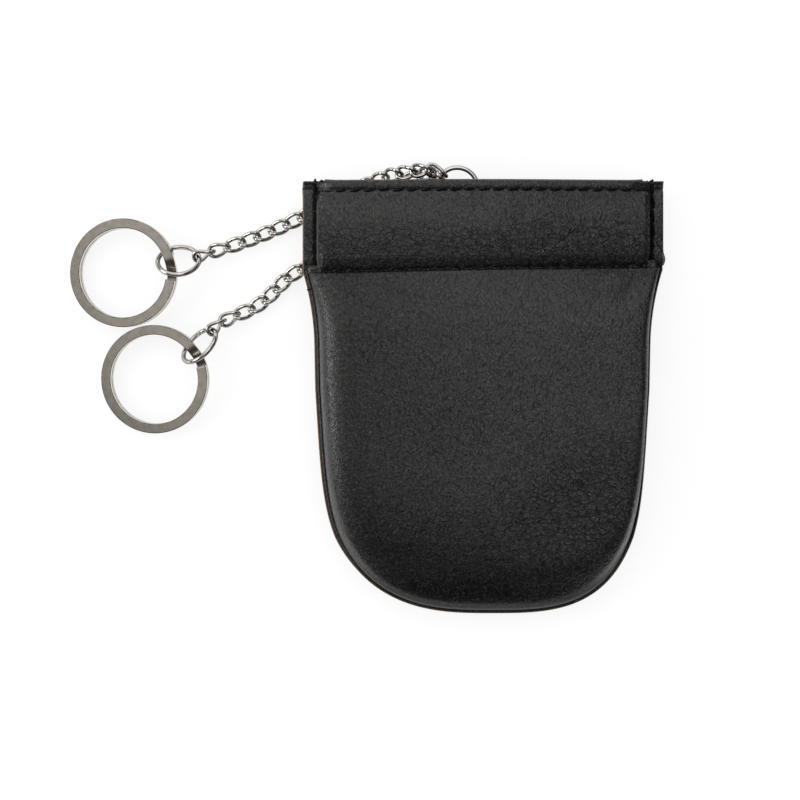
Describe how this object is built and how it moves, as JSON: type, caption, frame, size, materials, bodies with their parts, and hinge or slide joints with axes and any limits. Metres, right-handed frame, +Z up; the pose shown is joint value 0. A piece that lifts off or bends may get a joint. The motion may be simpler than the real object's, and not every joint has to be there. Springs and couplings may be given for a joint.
{
  "type": "key case",
  "caption": "Soft leather pouch with a spring squeeze mouth; curb chains from a ring in the mouth each end in a split key ring.",
  "frame": {"origin": "middle of the flat that the back panel rests on", "axes": "+X to the pouch's right seen from the front, +Y towards the mouth, +Z up out of the front panel"},
  "size_m": [0.1362, 0.1028, 0.0125],
  "materials": {
    "leather": "fine-grained black nappa",
    "lining": "matt woven",
    "spring_steel": "plain rolled",
    "nickel": "bright nickel plate"
  },
  "bodies": {
    "pouch": {"back_panel": "leather", "back_casing": "leather", "back_lining": "lining", "back_spring_strip": "spring_steel", "left_frame_pin": "spring_steel", "right_frame_pin": "spring_steel", "ring_tab": "leather"},
    "front_half": {"front_panel": "leather", "front_casing": "leather", "front_lining": "lining", "front_spring_strip": "spring_steel"},
    "anchor_ring": {"anchor_ring": "nickel"},
    "upper_chain_link_01": {"upper_chain_link_01": "nickel"},
    "upper_chain_link_02": {"upper_chain_link_02": "nickel"},
    "upper_chain_link_03": {"upper_chain_link_03": "nickel"},
    "upper_chain_link_04": {"upper_chain_link_04": "nickel"},
    "upper_chain_link_05": {"upper_chain_link_05": "nickel"},
    "upper_chain_link_06": {"upper_chain_link_06": "nickel"},
    "upper_chain_link_07": {"upper_chain_link_07": "nickel"},
    "upper_chain_link_08": {"upper_chain_link_08": "nickel"},
    "upper_chain_link_09": {"upper_chain_link_09": "nickel"},
    "upper_chain_link_10": {"upper_chain_link_10": "nickel"},
    "upper_chain_link_11": {"upper_chain_link_11": "nickel"},
    "upper_chain_link_12": {"upper_chain_link_12": "nickel"},
    "upper_chain_link_13": {"upper_chain_link_13": "nickel"},
    "upper_chain_link_14": {"upper_chain_link_14": "nickel"},
    "upper_chain_link_15": {"upper_chain_link_15": "nickel"},
    "upper_chain_link_16": {"upper_chain_link_16": "nickel"},
    "upper_chain_link_17": {"upper_chain_link_17": "nickel"},
    "upper_jump_ring": {"upper_jump_ring": "nickel"},
    "upper_key_ring": {"upper_key_ring": "nickel"},
    "lower_chain_link_01": {"lower_chain_link_01": "nickel"},
    "lower_chain_link_02": {"lower_chain_link_02": "nickel"},
    "lower_chain_link_03": {"lower_chain_link_03": "nickel"},
    "lower_chain_link_04": {"lower_chain_link_04": "nickel"},
    "lower_chain_link_05": {"lower_chain_link_05": "nickel"},
    "lower_chain_link_06": {"lower_chain_link_06": "nickel"},
    "lower_chain_link_07": {"lower_chain_link_07": "nickel"},
    "lower_chain_link_08": {"lower_chain_link_08": "nickel"},
    "lower_chain_link_09": {"lower_chain_link_09": "nickel"},
    "lower_chain_link_10": {"lower_chain_link_10": "nickel"},
    "lower_chain_link_11": {"lower_chain_link_11": "nickel"},
    "lower_chain_link_12": {"lower_chain_link_12": "nickel"},
    "lower_chain_link_13": {"lower_chain_link_13": "nickel"},
    "lower_chain_link_14": {"lower_chain_link_14": "nickel"},
    "lower_chain_link_15": {"lower_chain_link_15": "nickel"},
    "lower_chain_link_16": {"lower_chain_link_16": "nickel"},
    "lower_chain_link_17": {"lower_chain_link_17": "nickel"},
    "lower_chain_link_18": {"lower_chain_link_18": "nickel"},
    "lower_chain_link_19": {"lower_chain_link_19": "nickel"},
    "lower_jump_ring": {"lower_jump_ring": "nickel"},
    "lower_key_ring": {"lower_key_ring": "nickel"}
  },
  "joints": [
    {"name": "mouth_open", "type": "hinge", "parent": "pouch", "child": "front_half", "pos_m": [0, -0.0492, 0.0066], "axis": [1, 0, 0], "range_deg": [0, 15], "stiffness_Nm_per_rad": 0.2, "deforming": ["front_spring_strip"]},
    {"name": "anchor_ring_swing", "type": "hinge", "parent": "pouch", "child": "anchor_ring", "pos_m": [-0.00595, 0.04295, 0.0066], "axis": [1, 0, 0], "range_deg": [-1, 4]},
    {"name": "upper_link_01_yaw", "type": "hinge", "parent": "anchor_ring", "child": "upper_chain_link_01", "pos_m": [-0.00944, 0.05092, 0.0066], "axis": [0, 0, 1], "range_deg": [-10, 0]},
    {"name": "upper_link_02_yaw", "type": "hinge", "parent": "upper_chain_link_01", "child": "upper_chain_link_02", "pos_m": [-0.01231, 0.05205, 0.0072], "axis": [0, 0, 1], "range_deg": [-14, 0]},
    {"name": "upper_link_03_yaw", "type": "hinge", "parent": "upper_chain_link_02", "child": "upper_chain_link_03", "pos_m": [-0.01582, 0.05176, 0.00611], "axis": [0, 0, 1], "range_deg": [-14, 0]},
    {"name": "upper_link_04_yaw", "type": "hinge", "parent": "upper_chain_link_03", "child": "upper_chain_link_04", "pos_m": [-0.01921, 0.05148, 0.00468], "axis": [0, 0, 1], "range_deg": [-14, 0]},
    {"name": "upper_link_05_pitch", "type": "hinge", "parent": "upper_chain_link_04", "child": "upper_chain_link_05", "pos_m": [-0.02238, 0.05109, 0.00282], "axis": [-0.3384, 0.941, 0], "range_deg": [-20, 0]},
    {"name": "upper_link_06_pitch", "type": "hinge", "parent": "upper_chain_link_05", "child": "upper_chain_link_06", "pos_m": [-0.02552, 0.04996, 0.00126], "axis": [-0.3657, 0.9307, 0], "range_deg": [-20, 0]},
    {"name": "upper_link_07_pitch", "type": "hinge", "parent": "upper_chain_link_06", "child": "upper_chain_link_07", "pos_m": [-0.02896, 0.04861, 0.00126], "axis": [-0.484, 0.8751, 0], "range_deg": [-20, 0]},
    {"name": "upper_link_08_pitch", "type": "hinge", "parent": "upper_chain_link_07", "child": "upper_chain_link_08", "pos_m": [-0.03218, 0.04682, 0.00126], "axis": [-0.4645, 0.8856, 0], "range_deg": [-20, 0]},
    {"name": "upper_link_09_pitch", "type": "hinge", "parent": "upper_chain_link_08", "child": "upper_chain_link_09", "pos_m": [-0.03545, 0.04511, 0.00127], "axis": [-0.4507, 0.8927, 0], "range_deg": [-20, 0]},
    {"name": "upper_link_10_pitch", "type": "hinge", "parent": "upper_chain_link_09", "child": "upper_chain_link_10", "pos_m": [-0.03875, 0.04344, 0.00127], "axis": [0.4441, -0.896, 0], "range_deg": [-25, 25]},
    {"name": "upper_link_11_pitch", "type": "hinge", "parent": "upper_chain_link_10", "child": "upper_chain_link_11", "pos_m": [-0.04205, 0.04181, 0.00129], "axis": [-0.4316, 0.9021, 0], "range_deg": [-25, 25]},
    {"name": "upper_link_12_pitch", "type": "hinge", "parent": "upper_chain_link_11", "child": "upper_chain_link_12", "pos_m": [-0.04538, 0.04021, 0.00135], "axis": [0.4114, -0.9115, 0], "range_deg": [-25, 25]},
    {"name": "upper_link_13_pitch", "type": "hinge", "parent": "upper_chain_link_12", "child": "upper_chain_link_13", "pos_m": [-0.04874, 0.0387, 0.00151], "axis": [-0.3817, 0.9243, 0], "range_deg": [-25, 25]},
    {"name": "upper_link_14_pitch", "type": "hinge", "parent": "upper_chain_link_13", "child": "upper_chain_link_14", "pos_m": [-0.05215, 0.03729, 0.00171], "axis": [0.3586, -0.9335, 0], "range_deg": [-25, 25]},
    {"name": "upper_link_15_pitch", "type": "hinge", "parent": "upper_chain_link_14", "child": "upper_chain_link_15", "pos_m": [-0.05558, 0.03597, 0.00197], "axis": [-0.318, 0.9481, 0], "range_deg": [-25, 25]},
    {"name": "upper_link_16_pitch", "type": "hinge", "parent": "upper_chain_link_15", "child": "upper_chain_link_16", "pos_m": [-0.05908, 0.0348, 0.00213], "axis": [0.2896, -0.9572, 0], "range_deg": [-18, 18]},
    {"name": "upper_link_17_pitch", "type": "hinge", "parent": "upper_chain_link_16", "child": "upper_chain_link_17", "pos_m": [-0.0626, 0.03373, 0.00238], "axis": [-0.3551, 0.9348, 0], "range_deg": [-18, 18]},
    {"name": "upper_jump_ring_swing", "type": "hinge", "parent": "upper_chain_link_17", "child": "upper_jump_ring", "pos_m": [-0.06551, 0.03263, 0.00279], "axis": [0.3551, -0.9348, 0], "range_deg": [-15, 15]},
    {"name": "upper_key_ring_swing", "type": "hinge", "parent": "upper_jump_ring", "child": "upper_key_ring", "pos_m": [-0.07164, 0.03113, 0.00409], "axis": [0.2079, -0.9781, 0], "range_deg": [-15, 15]},
    {"name": "lower_link_01_pitch", "type": "hinge", "parent": "anchor_ring", "child": "lower_chain_link_01", "pos_m": [-0.00989, 0.05035, 0.0066], "axis": [-0.6639, -0.7478, 0], "range_deg": [0, 6]},
    {"name": "lower_link_02_pitch", "type": "hinge", "parent": "lower_chain_link_01", "child": "lower_chain_link_02", "pos_m": [-0.01144, 0.05173, 0.00424], "axis": [0.0419, -0.9991, 0], "range_deg": [0, 16]},
    {"name": "lower_link_03_pitch", "type": "hinge", "parent": "lower_chain_link_02", "child": "lower_chain_link_03", "pos_m": [-0.01434, 0.0516, 0.00196], "axis": [0.3452, -0.9385, 0], "range_deg": [0, 16]},
    {"name": "lower_link_04_pitch", "type": "hinge", "parent": "lower_chain_link_03", "child": "lower_chain_link_04", "pos_m": [-0.01778, 0.05034, 0.0015], "axis": [0.5708, -0.8211, 0], "range_deg": [0, 16]},
    {"name": "lower_link_05_pitch", "type": "hinge", "parent": "lower_chain_link_04", "child": "lower_chain_link_05", "pos_m": [-0.02081, 0.04823, 0.00148], "axis": [0.6959, -0.7182, 0], "range_deg": [0, 16]},
    {"name": "lower_link_06_pitch", "type": "hinge", "parent": "lower_chain_link_05", "child": "lower_chain_link_06", "pos_m": [-0.02345, 0.04567, 0.00133], "axis": [0.8118, -0.5839, 0], "range_deg": [0, 16]},
    {"name": "lower_link_07_pitch", "type": "hinge", "parent": "lower_chain_link_06", "child": "lower_chain_link_07", "pos_m": [-0.02561, 0.04267, 0.00126], "axis": [0.9283, -0.3717, 0], "range_deg": [0, 16]},
    {"name": "lower_link_08_pitch", "type": "hinge", "parent": "lower_chain_link_07", "child": "lower_chain_link_08", "pos_m": [-0.02698, 0.03925, 0.00125], "axis": [0.8745, -0.485, 0], "range_deg": [0, 16]},
    {"name": "lower_link_09_pitch", "type": "hinge", "parent": "lower_chain_link_08", "child": "lower_chain_link_09", "pos_m": [-0.02877, 0.03602, 0.00127], "axis": [0.6125, -0.7904, 0], "range_deg": [0, 16]},
    {"name": "lower_link_10_pitch", "type": "hinge", "parent": "lower_chain_link_09", "child": "lower_chain_link_10", "pos_m": [-0.03169, 0.03376, 0.00128], "axis": [0.3879, -0.9217, 0], "range_deg": [0, 16]},
    {"name": "lower_link_11_pitch", "type": "hinge", "parent": "lower_chain_link_10", "child": "lower_chain_link_11", "pos_m": [-0.03509, 0.03233, 0.00129], "axis": [-0.3279, 0.9447, 0], "range_deg": [-25, 25]},
    {"name": "lower_link_12_pitch", "type": "hinge", "parent": "lower_chain_link_11", "child": "lower_chain_link_12", "pos_m": [-0.03857, 0.03112, 0.00131], "axis": [0.3583, -0.9336, 0], "range_deg": [-25, 25]},
    {"name": "lower_link_13_pitch", "type": "hinge", "parent": "lower_chain_link_12", "child": "lower_chain_link_13", "pos_m": [-0.04202, 0.0298, 0.00132], "axis": [-0.5337, 0.8457, 0], "range_deg": [-25, 25]},
    {"name": "lower_link_14_pitch", "type": "hinge", "parent": "lower_chain_link_13", "child": "lower_chain_link_14", "pos_m": [-0.04514, 0.02783, 0.00131], "axis": [0.718, -0.696, 0], "range_deg": [-25, 25]},
    {"name": "lower_link_15_pitch", "type": "hinge", "parent": "lower_chain_link_14", "child": "lower_chain_link_15", "pos_m": [-0.04771, 0.02518, 0.00128], "axis": [-0.6993, 0.7148, 0], "range_deg": [-25, 25]},
    {"name": "lower_link_16_pitch", "type": "hinge", "parent": "lower_chain_link_15", "child": "lower_chain_link_16", "pos_m": [-0.05034, 0.0226, 0.00128], "axis": [0.5608, -0.8279, 0], "range_deg": [-25, 25]},
    {"name": "lower_link_17_pitch", "type": "hinge", "parent": "lower_chain_link_16", "child": "lower_chain_link_17", "pos_m": [-0.0534, 0.02053, 0.00137], "axis": [-0.3745, 0.9272, 0], "range_deg": [-25, 25]},
    {"name": "lower_link_18_pitch", "type": "hinge", "parent": "lower_chain_link_17", "child": "lower_chain_link_18", "pos_m": [-0.0568, 0.01915, 0.00178], "axis": [0.4536, -0.8912, 0], "range_deg": [-18, 18]},
    {"name": "lower_link_19_pitch", "type": "hinge", "parent": "lower_chain_link_18", "child": "lower_chain_link_19", "pos_m": [-0.05992, 0.01757, 0.00296], "axis": [-0.6562, 0.7546, 0], "range_deg": [-18, 18]},
    {"name": "lower_jump_ring_swing", "type": "hinge", "parent": "lower_chain_link_19", "child": "lower_jump_ring", "pos_m": [-0.06216, 0.01562, 0.00397], "axis": [0.6562, -0.7546, 0], "range_deg": [-15, 15]},
    {"name": "lower_key_ring_swing", "type": "hinge", "parent": "lower_jump_ring", "child": "lower_key_ring", "pos_m": [-0.06631, 0.01092, 0.00405], "axis": [0.5856, -0.8106, 0], "range_deg": [-15, 15]}
  ]
}
